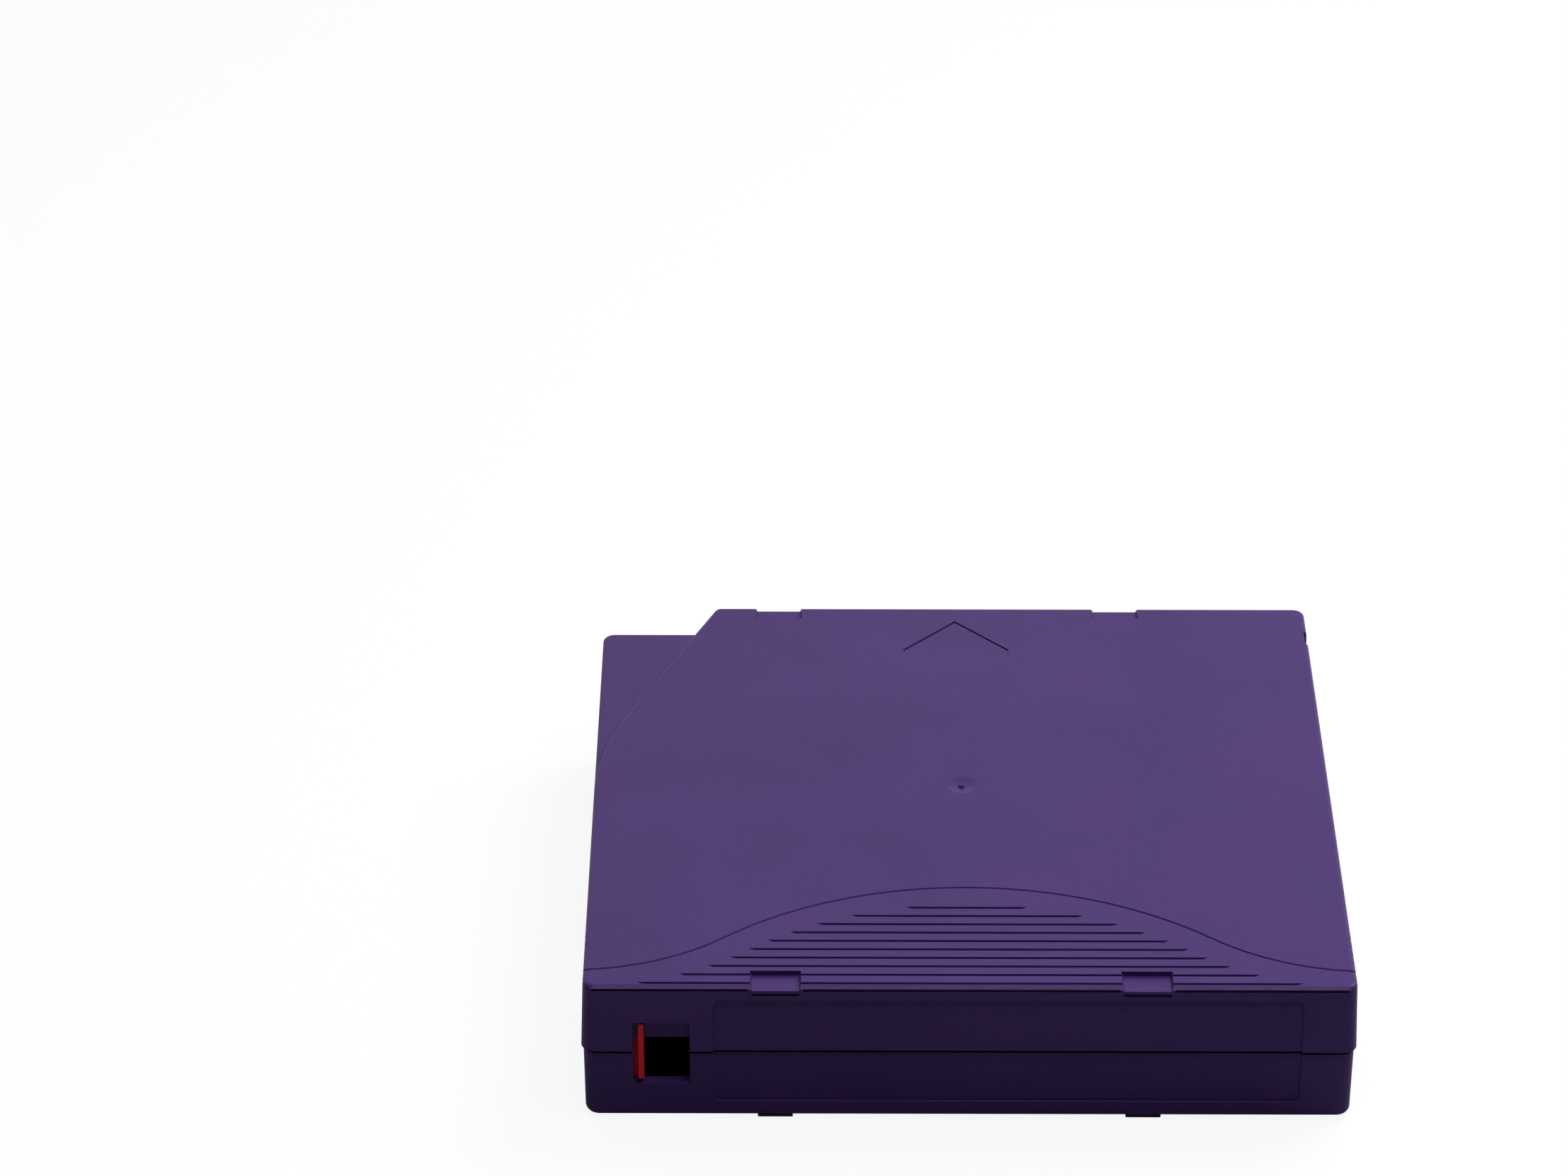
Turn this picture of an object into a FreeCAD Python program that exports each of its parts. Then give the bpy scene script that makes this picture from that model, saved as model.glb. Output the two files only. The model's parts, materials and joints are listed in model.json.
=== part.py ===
import FreeCAD, Part
import math
import os

# Data tape cartridge with one reel, in millimetres.
# Origin on the reel's axis, in the plane of the feet. +X right, +Y the way it is pushed in, +Z up.

# Case
case_width = 105.4
case_depth = 102.0
case_height = 22.0
foot_height = 0.5
parting_rise = 0.1
parting_groove = 0.5
side_wall = 2.0
floor_wall = 1.5
roof_wall = 1.6
upper_draft = 0.35
lower_draft = 0.15
lower_inset = 0.3
corner_radius = 2.0
roof_edge_radius = 0.6
floor_edge_radius = 1.2
inner_corner_radius = 1.0
tongue_height = 1.2
tongue_thickness = 0.8
tongue_gap = 0.15

# Corner that is stepped back for the pin, and the raised pad of the roof
notch_depth = 6.4
pad_slope = 2.402
pad_step = 0.8
notch_tip_radius = 1.4
notch_root_radius = 0.5

# Roof engraving
crown_from_rear = 24.93
crown_radius = 50.4
wing_from_rear = 4.32
wing_radius = 31.9
engraving_width = 0.4
engraving_depth = 0.3
grip_rows = 10
grip_last_from_rear = 1.28
grip_pitch = 2.066
grip_margin = 4.3
grip_far_edge = 0.2
grip_near_edge = 0.3
grip_floor_shift = 0.15
grip_depth = 0.32
grip_run_out = 1.0
chevron_from_front = 4.28
chevron_half_width = 7.8
chevron_drop = 8.3
chevron_line = 0.35
dimple_offset = 0.8
dimple_radius = 2.45
dimple_depth = 0.35
dimple_nub_radius = 0.45

# Stacking notches in the roof and feet under the floor
stack_from_left = 26.4
stack_from_right = 28.7
stack_notch_width = 6.95
stack_notch_depth = 0.7
rear_notch_length = 4.2
front_notch_length = 3.4
notch_wall_slope = 0.3
foot_width = 4.8
foot_length = 2.6
foot_setback = 1.1
foot_chamfer = 0.15

# Sides
side_grip_rows = 6
side_grip_from_rear = 2.5
side_grip_pitch = 2.08
side_grip_half_width = 0.75
side_grip_depth = 0.18
latch_from_front = 8.89
latch_length = 3.5
latch_depth = 0.5
edge_groove_from_side = 1.5
edge_groove_below_top = 0.4
edge_groove_height = 0.45
edge_groove_depth = 0.25
edge_groove_notch_gap = 0.25

# Label recess in the rear face
label_from_left = 17.98
label_from_right = 7.5
label_above_floor = 2.67
label_below_roof = 2.16
label_depth = 0.35
label_corner_radius = 1.0

# Write protect switch and its window
window_from_left = 7.05
window_width = 7.75
window_below_parting = 5.2
window_above_parting = 4.8
window_through_rise = 2.0
window_ledge_depth = 1.0
switch_travel = 5.6
switch_rib_inset = 0.75
switch_rib_width = 0.75
switch_rib_setback = 0.3
switch_rib_foot = 0.8
switch_body_thickness = 2.0
switch_clearance = 0.1
switch_top_gap = 0.3
switch_rail_thickness = 0.8
switch_rail_height = 3.0
switch_stop_gap = 0.4

# Hub opening and the seat of the reel
hub_opening_radius = 18.5
seat_setback = 0.5
seat_width = 2.5
seat_gap = 0.1

# Reel
rim_gap = 0.5
flange_thickness = 1.1
flange_rim_thickness = 0.8
hub_radius = 22.0
hub_wall = 2.8
tape_gap = 0.1
pack_rim_gap = 1.65
reel_lift = 3.0
roof_gap = 1.85
web_thickness = 1.6
web_rise = 0.4
gear_teeth = 60
gear_inner_radius = 13.5
gear_outer_radius = 17.5
tooth_height = 1.0
tooth_backlash = 0.05
tooth_flank = 0.4
plate_outer_radius = 13.0
plate_inner_radius = 5.5
plate_thickness = 0.8
spigot_length = 1.0
spigot_width = 1.0

# Brake
lock_inner_radius = 12.5
lock_outer_radius = 16.0
lock_arc_count = 3
lock_first_angle = 30.0
lock_arc_angle = 78.0
lock_arc_height = 1.4
tooth_clearance = 0.15
brake_disc_radius = 16.3
brake_disc_thickness = 1.5
brake_boss_radius = 6.5
brake_boss_gap = 1.65
brake_lift = 1.7
key_length = 6.0
key_width = 2.0
key_gap = 0.1
key_end_gap = 0.3
slot_floor_wall = 1.5
brake_spring_radius = 8.3
brake_spring_wire = 1.0
brake_spring_turns = 4
nose_radius = 3.5

# Release pad
pad_thickness = 1.3
pad_hub_radius = 6.0
pad_arm_width = 4.2
leg_circle_radius = 15.5
leg_radius = 1.2
leg_gap = 0.1
leg_tip_height = 2.7
pad_gap = 0.1

# Screws
front_screw_inset = 7.1
right_screw_inset = 4.8
right_screw_from_rear = 12.5
left_screw_inset = 6.2
left_screw_from_rear = 10.5
notch_screw_offset = 1.35
notch_screw_inset = 4.2
screw_shank_radius = 0.95
screw_head_radius = 2.1
screw_head_height = 1.4
screw_head_chamfer = 0.4
screw_tip_radius = 0.3
screw_tip_gap = 0.5
screw_roof_gap = 2.8
screw_gap = 0.05
head_sink = 1.2
boss_radius = 3.0
upper_boss_radius = 2.6
recess_length = 2.2
recess_width = 0.5
recess_depth = 0.8

# Guard arcs that keep the reel's rim away from the corners
guard_gap = 0.9
guard_thickness = 1.0
guard_split = 3.9
guard_arc_angle = 50.0
corner_direction = 45.0

# Door
door_front_wall = 1.5
door_length = 28.4
door_thickness = 0.9
door_travel = 24.0
door_gap = 0.1
door_overlap = 0.9
door_groove = 0.5
door_top_groove = 0.3
mouth_rear_overlap = 1.6
mouth_margin = 1.0
door_lug_height = 4.6
door_pusher = 2.4
door_spring_wire = 0.3
door_spring_radius = 1.0
door_spring_turns = 12
door_spring_length = 32.0
stop_thickness = 1.5

# Leader pin
pin_from_wall = 3.9
pin_from_notch = 10.2
pin_radius = 1.2
pin_head_radius = 2.1
pin_head_height = 1.2
pin_end_gap = 0.1
clip_radius = 1.9
clip_bore_gap = 0.05
clip_slot = 0.8
leaf_thickness = 0.3
leaf_height = 1.0
leaf_gap = 0.1
leaf_seat_wall = 0.8
leaf_end_offset = 0.44
leader_thickness = 0.15
leader_gap = 0.3
leader_offset = 0.5

# Memory board
board_length = 18.0
board_width = 9.0
board_thickness = 0.8
board_from_right = 22.2
board_tilt = 45.0
board_ramp_height = 6.7
ramp_thickness = 1.2
chip_size = 3.0
chip_height = 0.7
coil_band = 1.2
coil_margin = 0.5
coil_thickness = 0.1

# Reach of the cutting tools past a face, and how far joined pieces run into each other
wall_tool = 5.0
tool_reach = 1.0
wall_root = 0.5
joint_sink = 0.1

half_width = case_width / 2
half_depth = case_depth / 2
floor_top = foot_height + floor_wall
roof_bottom = case_height - roof_wall
parting_height = (case_height + foot_height) / 2 + parting_rise
upper_start = parting_height + parting_groove / 2
lower_end = parting_height - parting_groove / 2
notch_wall_y = half_depth - notch_depth
inner_x = half_width - side_wall
inner_y = half_depth - side_wall
pad_roof = case_height - pad_step
flange_bottom = foot_height + reel_lift
flange_top = flange_bottom + flange_thickness
hub_top = roof_bottom - roof_gap - flange_thickness
pack_bottom = flange_top + tape_gap
tape_width = hub_top - tape_gap - pack_bottom
flange_radius = min(inner_x, inner_y) - rim_gap
pack_radius = flange_radius - pack_rim_gap
web_bottom = flange_bottom + web_rise
web_top = web_bottom + web_thickness
hub_bore_radius = hub_radius - hub_wall
lock_root = web_top + lock_arc_height
brake_root = lock_root + tooth_height + tooth_clearance
brake_top = brake_root + brake_disc_thickness
boss_top = roof_bottom - brake_lift - brake_boss_gap
slot_floor = brake_top + slot_floor_wall
key_bottom = slot_floor + brake_lift + key_end_gap
pad_bottom = web_top + pad_gap
pad_top = pad_bottom + pad_thickness
pad_lean = math.atan(1 / pad_slope)
pad_arc_end_x = -half_width * math.cos(pad_lean)
pad_arc_end_y = half_width * math.sin(pad_lean)
notch_tip_x = pad_arc_end_x + (half_depth - pad_arc_end_y) / pad_slope
notch_root_x = notch_tip_x - notch_depth / pad_slope
crown_y = crown_from_rear - half_depth
crown_centre_y = crown_y - crown_radius
wing_centre_y = wing_from_rear - half_depth + wing_radius
wing_rise = wing_centre_y - crown_centre_y
wing_centre_x = math.sqrt((crown_radius + wing_radius) ** 2 - wing_rise ** 2)
stack_places = (stack_from_left - half_width, half_width - stack_from_right)
label_left = label_from_left - half_width
label_right = half_width - label_from_right
label_bottom = foot_height + label_above_floor
label_top = case_height - label_below_roof
window_left = window_from_left - half_width
window_right = window_left + window_width
window_bottom = parting_height - window_below_parting
window_top = parting_height + window_above_parting
window_through_top = parting_height + window_through_rise
switch_rib_left = window_left + switch_rib_inset
door_outer_x = -(inner_x + door_thickness + door_gap / 2)
door_front_y = notch_wall_y - door_front_wall
door_rear_y = door_front_y - door_length
spring_x = door_outer_x + door_pusher / 2
spring_rear_y = door_rear_y - door_spring_length
guard_height = (roof_bottom - floor_top - guard_split) / 2
pin_x = pin_from_wall - inner_x
pin_y = notch_wall_y - pin_from_notch
board_left = half_width - board_from_right
screw_places = [
    (half_width - front_screw_inset, half_depth - front_screw_inset),
    (half_width - right_screw_inset, right_screw_from_rear - half_depth),
    (left_screw_inset - half_width, left_screw_from_rear - half_depth),
    (notch_tip_x + notch_screw_offset, notch_wall_y - notch_screw_inset),
]


def vec(x, y, z=0.0):
    return FreeCAD.Vector(x, y, z)


def box(x0, x1, y0, y1, z0, z1):
    return Part.makeBox(x1 - x0, y1 - y0, z1 - z0, vec(x0, y0, z0))


def disc(radius, z0, z1, x=0.0, y=0.0):
    return Part.makeCylinder(radius, z1 - z0, vec(x, y, z0))


def ring(outer, inner, z0, z1, x=0.0, y=0.0):
    return disc(outer, z0, z1, x, y).cut(disc(inner, z0, z1, x, y))


def closed_face(points):
    return Part.Face(Part.makePolygon(points + [points[0]]))


def prism_z(points, z0, z1):
    return closed_face([vec(x, y, z0) for x, y in points]).extrude(vec(0, 0, z1 - z0))


def prism_y(points, y0, y1):
    return closed_face([vec(x, y0, z) for x, z in points]).extrude(vec(0, y1 - y0, 0))


def prism_x(points, x0, x1):
    return closed_face([vec(x0, y, z) for y, z in points]).extrude(vec(x1 - x0, 0, 0))


def revolve(points, angle=360.0, x=0.0, y=0.0):
    """Turn a profile of (radius, height) points about the upright line through (x, y)."""
    face = closed_face([vec(x + r, y, z) for r, z in points])
    return face.revolve(vec(x, y), vec(0, 0, 1), angle)


def turned(shape, angle, x=0.0, y=0.0):
    copy = shape.copy()
    copy.rotate(vec(x, y), vec(0, 0, 1), angle)
    return copy


def upright_edges(shape, places, reach=1.0):
    """Edges that stand near any of the (x, y) places."""
    chosen = []
    for edge in shape.Edges:
        box_of_edge = edge.BoundBox
        if box_of_edge.ZLength < max(box_of_edge.XLength, box_of_edge.YLength):
            continue
        middle = box_of_edge.Center
        if any(math.hypot(middle.x - x, middle.y - y) < reach for x, y in places):
            chosen.append(edge)
    return chosen


def level_edges(shape, height):
    """Edges that lie wholly at one height."""
    return [e for e in shape.Edges if abs(e.BoundBox.ZMin - height) + abs(e.BoundBox.ZMax - height) < 1e-3]


def one_solid(shape):
    """The plain solid of a result, with faces of one surface merged."""
    return shape.removeSplitter().Solids[0]


def save(shape, node):
    shape.exportStep("parts/" + node + ".step")


def stepped_plan():
    """Corners (x, y, radius) of the case seen from above, the front left one stepped back."""
    return [
        (-half_width, -half_depth, corner_radius), (half_width, -half_depth, corner_radius),
        (half_width, half_depth, corner_radius), (notch_tip_x, half_depth, notch_tip_radius),
        (notch_root_x, notch_wall_y, notch_root_radius), (-half_width, notch_wall_y, corner_radius),
    ]


def pad_plan():
    """Corners of the roof's raised pad, whose left edge bends about the reel's axis."""
    bend_y = half_width * math.tan(pad_lean / 2)
    return stepped_plan()[:4] + [(-half_width, bend_y, half_width)]


def rounded_wire(corners, inset, lean, z):
    """Outline round the corners with its sides moved in by inset and lean, which also trims the radii."""
    edges = []
    ends = []
    for index, (x, y, radius) in enumerate(corners):
        x0, y0, _ = corners[index - 1]
        x1, y1, _ = corners[(index + 1) % len(corners)]
        come = vec(x - x0, y - y0).normalize()
        go = vec(x1 - x, y1 - y).normalize()
        left = vec(-come.y, come.x)
        turn = math.atan2(left.dot(go), come.dot(go))
        side = 1 if turn > 0 else -1
        shift = (left + vec(-go.y, go.x)) * ((inset + lean) / (1 + come.dot(go)))
        corner = vec(x, y, z) + shift
        bend = radius - side * lean
        reach = bend * math.tan(abs(turn) / 2)
        start, end = corner - come * reach, corner + go * reach
        centre = start + left * (side * bend)
        middle = centre + (corner - centre).normalize() * bend
        ends.append((start, end))
        edges.append(Part.Arc(start, middle, end).toShape())
    for index, (start, _) in enumerate(ends):
        edges.append(Part.LineSegment(ends[index - 1][1], start).toShape())
    return Part.Wire(Part.__sortEdges__(edges))


def leaning_block(corners, z_base, z_tip, inset, draft):
    """Block over a plan whose sides all lean in from z_base to z_tip."""
    return Part.makeLoft([rounded_wire(corners, inset, 0.0, z_base),
                          rounded_wire(corners, inset, draft, z_tip)], True, True)


def upper_block():
    """Outside form of the upper shell: the low corner and the raised pad, joined."""
    pad_share = (pad_roof - upper_start) / (case_height - upper_start)
    low = leaning_block(stepped_plan(), upper_start, pad_roof, 0.0, upper_draft * pad_share)
    low = low.makeFillet(roof_edge_radius, level_edges(low, pad_roof))
    pad = leaning_block(pad_plan(), upper_start, case_height, 0.0, upper_draft)
    pad = pad.makeFillet(roof_edge_radius, level_edges(pad, case_height))
    return one_solid(low.fuse(pad))


def lower_block():
    """Outside form of the lower shell, set in a little from the upper one."""
    block = leaning_block(stepped_plan(), lower_end, foot_height, lower_inset, lower_draft)
    return block.makeFillet(floor_edge_radius, level_edges(block, foot_height))


def cavity(inset, z0, z1):
    """Inner space of the case, inset from its plan, with rounded corners."""
    x0, x1 = -half_width + inset, half_width - inset
    y0, y1 = -half_depth + inset, half_depth - inset
    wall_y = notch_wall_y - inset
    slant = math.hypot(1, pad_slope) * inset / pad_slope
    tip = notch_tip_x + slant - inset / pad_slope
    root = tip - (y1 - wall_y) / pad_slope
    block = prism_z([(x0, y0), (x1, y0), (x1, y1), (tip, y1), (root, wall_y), (x0, wall_y)], z0, z1)
    corners = [(x0, y0), (x1, y0), (x1, y1), (x0, wall_y)]
    return block.makeFillet(inner_corner_radius, upright_edges(block, corners))


def grip_half_length(y):
    """Half length of a grip groove, whose ends follow the engraved curve at a fixed margin."""
    turn_y = crown_centre_y + (crown_radius - grip_margin) * wing_rise / (crown_radius + wing_radius)
    if y > turn_y:
        return math.sqrt((crown_radius - grip_margin) ** 2 - (y - crown_centre_y) ** 2)
    reach = (wing_radius + grip_margin) ** 2 - (y - wing_centre_y) ** 2
    return min(wing_centre_x - math.sqrt(max(reach, 0.0)), half_width - grip_margin)


def grip_groove(y):
    """One groove with a steep far flank, a gentle near flank and ends that run out."""
    half = grip_half_length(y)
    top = case_height + engraving_depth
    floor = case_height - grip_depth
    far, near = y + grip_far_edge, y - grip_near_edge
    section = prism_x([(far, case_height), (far, top), (near, top), (near, case_height),
                       (y + grip_floor_shift, floor)], -half, half)
    ramp = prism_y([(-half, case_height), (-half + grip_run_out, floor), (half - grip_run_out, floor),
                    (half, case_height), (half, top), (-half, top)], near - tool_reach, far + tool_reach)
    return section.common(ramp)


def arc_groove(x, y, radius, from_angle, to_angle):
    """Narrow V groove in the roof along an arc."""
    half = engraving_width / 2
    point = case_height - engraving_depth
    top = case_height + engraving_depth
    profile = [(radius - half, case_height), (radius, point), (radius + half, case_height),
               (radius + half, top), (radius - half, top)]
    return turned(revolve(profile, to_angle - from_angle, x, y), from_angle, x, y)


def engraved_curve():
    """Crown arc over the grip area and the two wing arcs that run out to the sides."""
    lean = math.degrees(math.atan2(wing_rise, wing_centre_x))
    side_angle = math.degrees(math.acos((half_width - wing_centre_x) / wing_radius))
    crown = arc_groove(0.0, crown_centre_y, crown_radius, lean, 180 - lean)
    right = arc_groove(wing_centre_x, wing_centre_y, wing_radius, 180 + lean, 360 - side_angle)
    left = arc_groove(-wing_centre_x, wing_centre_y, wing_radius, 180 + side_angle, 360 - lean)
    return [crown, right, left]


def chevron():
    """Engraved arrow head that points the way the case goes in."""
    run = math.hypot(chevron_half_width, chevron_drop)
    rise = chevron_line * run / chevron_half_width
    apex_y = half_depth - chevron_from_front
    low_y = apex_y - chevron_drop
    points = [(-chevron_half_width, low_y), (0.0, apex_y), (chevron_half_width, low_y),
              (chevron_half_width, low_y - rise), (0.0, apex_y - rise),
              (-chevron_half_width, low_y - rise)]
    return prism_z(points, case_height - engraving_depth, case_height + engraving_depth)


def dimple():
    """Shallow bowl at the moulding gate, with its small nub left standing."""
    ball_radius = (dimple_radius ** 2 + dimple_depth ** 2) / (2 * dimple_depth)
    floor = case_height - dimple_depth
    bowl = Part.makeSphere(ball_radius, vec(0, dimple_offset, floor + ball_radius))
    bowl = bowl.common(disc(dimple_radius + tool_reach, floor, case_height + wall_tool, 0.0, dimple_offset))
    nub = Part.makeSphere(dimple_nub_radius, vec(0, dimple_offset, floor))
    return bowl.cut(nub)


def stack_notch(x, y0, y1):
    """Notch in the roof that takes a foot of the case above."""
    half = stack_notch_width / 2
    floor = case_height - stack_notch_depth
    return prism_y([(x - half + notch_wall_slope, floor), (x + half - notch_wall_slope, floor),
                    (x + half, case_height), (x + half, case_height + wall_tool),
                    (x - half, case_height + wall_tool), (x - half, case_height)], y0, y1)


def stack_notches():
    tools = []
    for x in stack_places:
        tools.append(stack_notch(x, -half_depth - wall_tool, rear_notch_length - half_depth))
        tools.append(stack_notch(x, half_depth - front_notch_length, half_depth + wall_tool))
    return tools


def feet():
    """Four feet under the floor, each below a notch of the roof."""
    pads = []
    for x in stack_places:
        for edge, way in ((-half_depth, 1), (half_depth, -1)):
            y_out = edge + way * foot_setback
            y_in = y_out + way * foot_length
            low, high = min(y_out, y_in), max(y_out, y_in)
            foot = box(x - foot_width / 2, x + foot_width / 2, low, high, 0.0, foot_height + floor_wall / 2)
            foot = foot.makeChamfer(foot_chamfer, level_edges(foot, 0.0))
            pads.append(foot)
    return pads


def label_recess(y_low, y_high, z_low, z_high, z0, z1):
    """Shallow field in the rear face; its floor leans as the face does."""
    slope = (y_high - y_low) / (z_high - z_low)
    floor0 = y_low + slope * (z0 - z_low) + label_depth
    floor1 = y_low + slope * (z1 - z_low) + label_depth
    back = -half_depth - wall_tool
    slab = prism_x([(back, z0), (floor0, z0), (floor1, z1), (back, z1)], label_left, label_right)
    field = box(label_left, label_right, back, 0.0, label_bottom, label_top)
    field = field.makeFillet(label_corner_radius, [e for e in field.Edges if e.BoundBox.YLength > wall_tool])
    return slab.common(field)


def edge_grooves():
    """Shallow groove in the rear face just under the roof's edge, lower where a notch crosses it."""
    stops = [edge_groove_from_side - half_width]
    tools = []
    half = stack_notch_width / 2 + edge_groove_notch_gap
    for x in stack_places:
        stops += [x - half, x + half]
        inner = half - 2 * edge_groove_notch_gap
        tools.append(edge_groove(x - inner, x + inner, case_height - stack_notch_depth))
    stops.append(half_width - edge_groove_from_side)
    for x0, x1 in zip(stops[::2], stops[1::2]):
        tools.append(edge_groove(x0, x1, case_height))
    return tools


def edge_groove(x0, x1, height):
    top = height - edge_groove_below_top
    return box(x0, x1, -half_depth - wall_tool, upper_draft + edge_groove_depth - half_depth,
               top - edge_groove_height, top)


def side_cuts():
    """Finger grooves near the rear of both sides and the latch notch in the right side."""
    tools = []
    for row in range(side_grip_rows):
        y = -half_depth + side_grip_from_rear + side_grip_pitch * row
        for way in (-1, 1):
            x_face = way * half_width
            x_deep = way * (half_width - lower_inset - lower_draft - side_grip_depth)
            tools.append(prism_z([(x_face, y - side_grip_half_width), (x_face + way, y),
                                  (x_face, y + side_grip_half_width), (x_deep, y)],
                                 foot_height + floor_edge_radius, case_height + tool_reach))
    notch = box(half_width - latch_depth - lower_inset, half_width + wall_tool,
                half_depth - latch_from_front - latch_length / 2,
                half_depth - latch_from_front + latch_length / 2,
                foot_height + floor_edge_radius, case_height + wall_tool)
    tools.append(notch)
    return tools


def window_cuts():
    """Window of the write protect switch: a through hole below and a shallow ledge above."""
    outside = -half_depth - wall_tool
    through = box(window_left, window_right, outside, -inner_y + switch_clearance,
                  window_bottom, window_through_top)
    ledge = box(window_left, window_right, outside, -half_depth + window_ledge_depth,
                window_bottom, window_top)
    return [through, ledge]


def door_cuts():
    """Channel of the sliding door, its grooves, the tape mouth and the pocket of its spring."""
    rear = door_rear_y - door_travel - door_gap
    slot_x = -inner_x + door_gap / 2
    channel = box(door_outer_x - door_gap / 2, slot_x, rear, door_front_y + door_gap,
                  floor_top - door_groove, roof_bottom + door_top_groove)
    mouth = box(-half_width - wall_tool, -inner_x, door_rear_y + mouth_rear_overlap,
                door_front_y - door_overlap, floor_top + mouth_margin, roof_bottom - mouth_margin)
    lug_slot = box(door_outer_x - door_gap / 2, slot_x, door_front_y, notch_wall_y + wall_tool,
                   parting_height - door_lug_height / 2 - door_gap,
                   parting_height + door_lug_height / 2 + door_gap)
    reach = door_pusher / 2 + door_gap
    pocket = box(spring_x - reach, slot_x, spring_rear_y, door_rear_y + door_pusher,
                 parting_height - reach, parting_height + reach)
    return [channel, mouth, lug_slot, pocket]


def guard_arcs(z0, z1):
    """Arcs in three corners of the case that keep the reel's rim off the walls."""
    inner = flange_radius + guard_gap
    arcs = []
    for quarter in (0, 2, 3):
        middle = corner_direction + 90.0 * quarter
        outer = inner + guard_thickness
        arc = revolve([(inner, z0), (outer, z0), (outer, z1), (inner, z1)], guard_arc_angle)
        arcs.append(turned(arc, middle - guard_arc_angle / 2))
    return arcs


def upper_shell():
    shell = upper_block()
    shell = shell.cut(cavity(side_wall, upper_start - tool_reach, roof_bottom))
    rebate = cavity(side_wall - tongue_thickness - tongue_gap, upper_start - tool_reach,
                    lower_end + tongue_height + tongue_gap)
    shell = shell.cut(rebate)
    lean_low, lean_high = -half_depth, upper_draft - half_depth
    adds = guard_arcs(roof_bottom - guard_height, roof_bottom)
    for x, y in screw_places:
        adds.append(disc(upper_boss_radius, parting_height, roof_bottom, x, y))
    adds.append(box(-key_length / 2, key_length / 2, -key_width / 2, key_width / 2, key_bottom, roof_bottom))
    adds.append(pin_seat(pin_seat_top(), roof_bottom))
    shell = shell.multiFuse(adds)
    cuts = stack_notches() + edge_grooves() + engraved_curve() + [chevron(), dimple()]
    cuts += [grip_groove(grip_last_from_rear - half_depth + row * grip_pitch) for row in range(grip_rows)]
    cuts += side_cuts() + window_cuts() + door_cuts()
    cuts.append(label_recess(lean_low, lean_high, upper_start, case_height,
                             parting_height - tool_reach, label_top))
    for x, y in screw_places:
        cuts.append(disc(screw_shank_radius + screw_gap, parting_height - tool_reach,
                         screw_tip_height() + screw_tip_gap, x, y))
    return one_solid(shell.cut(cuts))


def lower_shell():
    shell = lower_block()
    shell = shell.cut(cavity(side_wall, floor_top, lower_end + tool_reach))
    tongue_outer = cavity(side_wall - tongue_thickness, lower_end - tool_reach, lower_end + tongue_height)
    tongue = tongue_outer.cut(cavity(side_wall, lower_end - 2 * tool_reach,
                                     lower_end + tongue_height + tool_reach))
    adds = [tongue] + feet() + guard_arcs(floor_top, floor_top + guard_height)
    seat_inner = hub_opening_radius + seat_setback
    adds.append(ring(seat_inner + seat_width, seat_inner, foot_height, flange_bottom - seat_gap))
    for x, y in screw_places:
        adds.append(disc(boss_radius, foot_height, parting_height, x, y))
    rail_y = -inner_y + switch_clearance * 2 + switch_body_thickness
    rail_top = floor_top + switch_rail_height
    end_x = window_right + switch_stop_gap
    adds.append(box(-inner_x - wall_root, end_x + switch_rail_thickness, rail_y,
                    rail_y + switch_rail_thickness, foot_height, rail_top))
    adds.append(box(end_x, end_x + switch_rail_thickness, -inner_y - wall_root, rail_y + wall_root,
                    foot_height, rail_top))
    adds.append(box(-inner_x - wall_root, spring_x + door_pusher / 2, spring_rear_y - stop_thickness,
                    spring_rear_y, foot_height, lower_end + tongue_height))
    adds += board_ramps()
    adds.append(pin_seat(floor_top, pin_seat_bottom()))
    shell = shell.multiFuse(adds)
    cuts = side_cuts() + window_cuts() + door_cuts()
    rear_low, rear_high = lower_inset + lower_draft - half_depth, lower_inset - half_depth
    cuts.append(label_recess(rear_low, rear_high, foot_height, lower_end, label_bottom, parting_height))
    cuts.append(disc(hub_opening_radius, 0.0, flange_bottom))
    for x, y in screw_places:
        cuts.append(disc(screw_shank_radius + screw_gap * 4, 0.0, parting_height + tool_reach, x, y))
        cuts.append(disc(screw_head_radius + screw_gap * 2, 0.0, head_seat_height(), x, y))
    return one_solid(shell.cut(cuts))


def head_seat_height():
    return foot_height + head_sink + screw_head_height


def screw_tip_height():
    return roof_bottom - screw_roof_gap


def shell_screws():
    """Four pan head screws driven from below, each with a cross recess."""
    screws = []
    for x, y in screw_places:
        seat = head_seat_height()
        head = disc(screw_head_radius, seat - screw_head_height, seat, x, y)
        head = head.makeChamfer(screw_head_chamfer, level_edges(head, seat - screw_head_height))
        shank = disc(screw_shank_radius, seat, screw_tip_height() - screw_shank_radius, x, y)
        tip = Part.makeCone(screw_shank_radius, screw_tip_radius, screw_shank_radius,
                            vec(x, y, screw_tip_height() - screw_shank_radius))
        low = seat - screw_head_height
        across = box(x - recess_length / 2, x + recess_length / 2,
                     y - recess_width / 2, y + recess_width / 2, low, low + recess_depth)
        screws.append(one_solid(head.multiFuse([shank, tip]).cut([across, turned(across, 90, x, y)])))
    return Part.makeCompound(screws)


def pin_seat_bottom():
    return floor_top + pin_end_gap + pin_head_height


def pin_seat_top():
    return roof_bottom - pin_end_gap - pin_head_height


def pin_seat(z0, z1):
    """Wall round a pin head and its leaf spring, open towards the tape mouth."""
    inner = leaf_inner_radius() + leaf_thickness + leaf_gap / 2
    gate = box(-half_width, pin_x, pin_y - inner, pin_y + inner, 0.0, case_height)
    return ring(inner + leaf_seat_wall, inner, z0, z1, pin_x, pin_y).cut(gate)


def leaf_inner_radius():
    return pin_head_radius + leaf_gap


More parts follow.
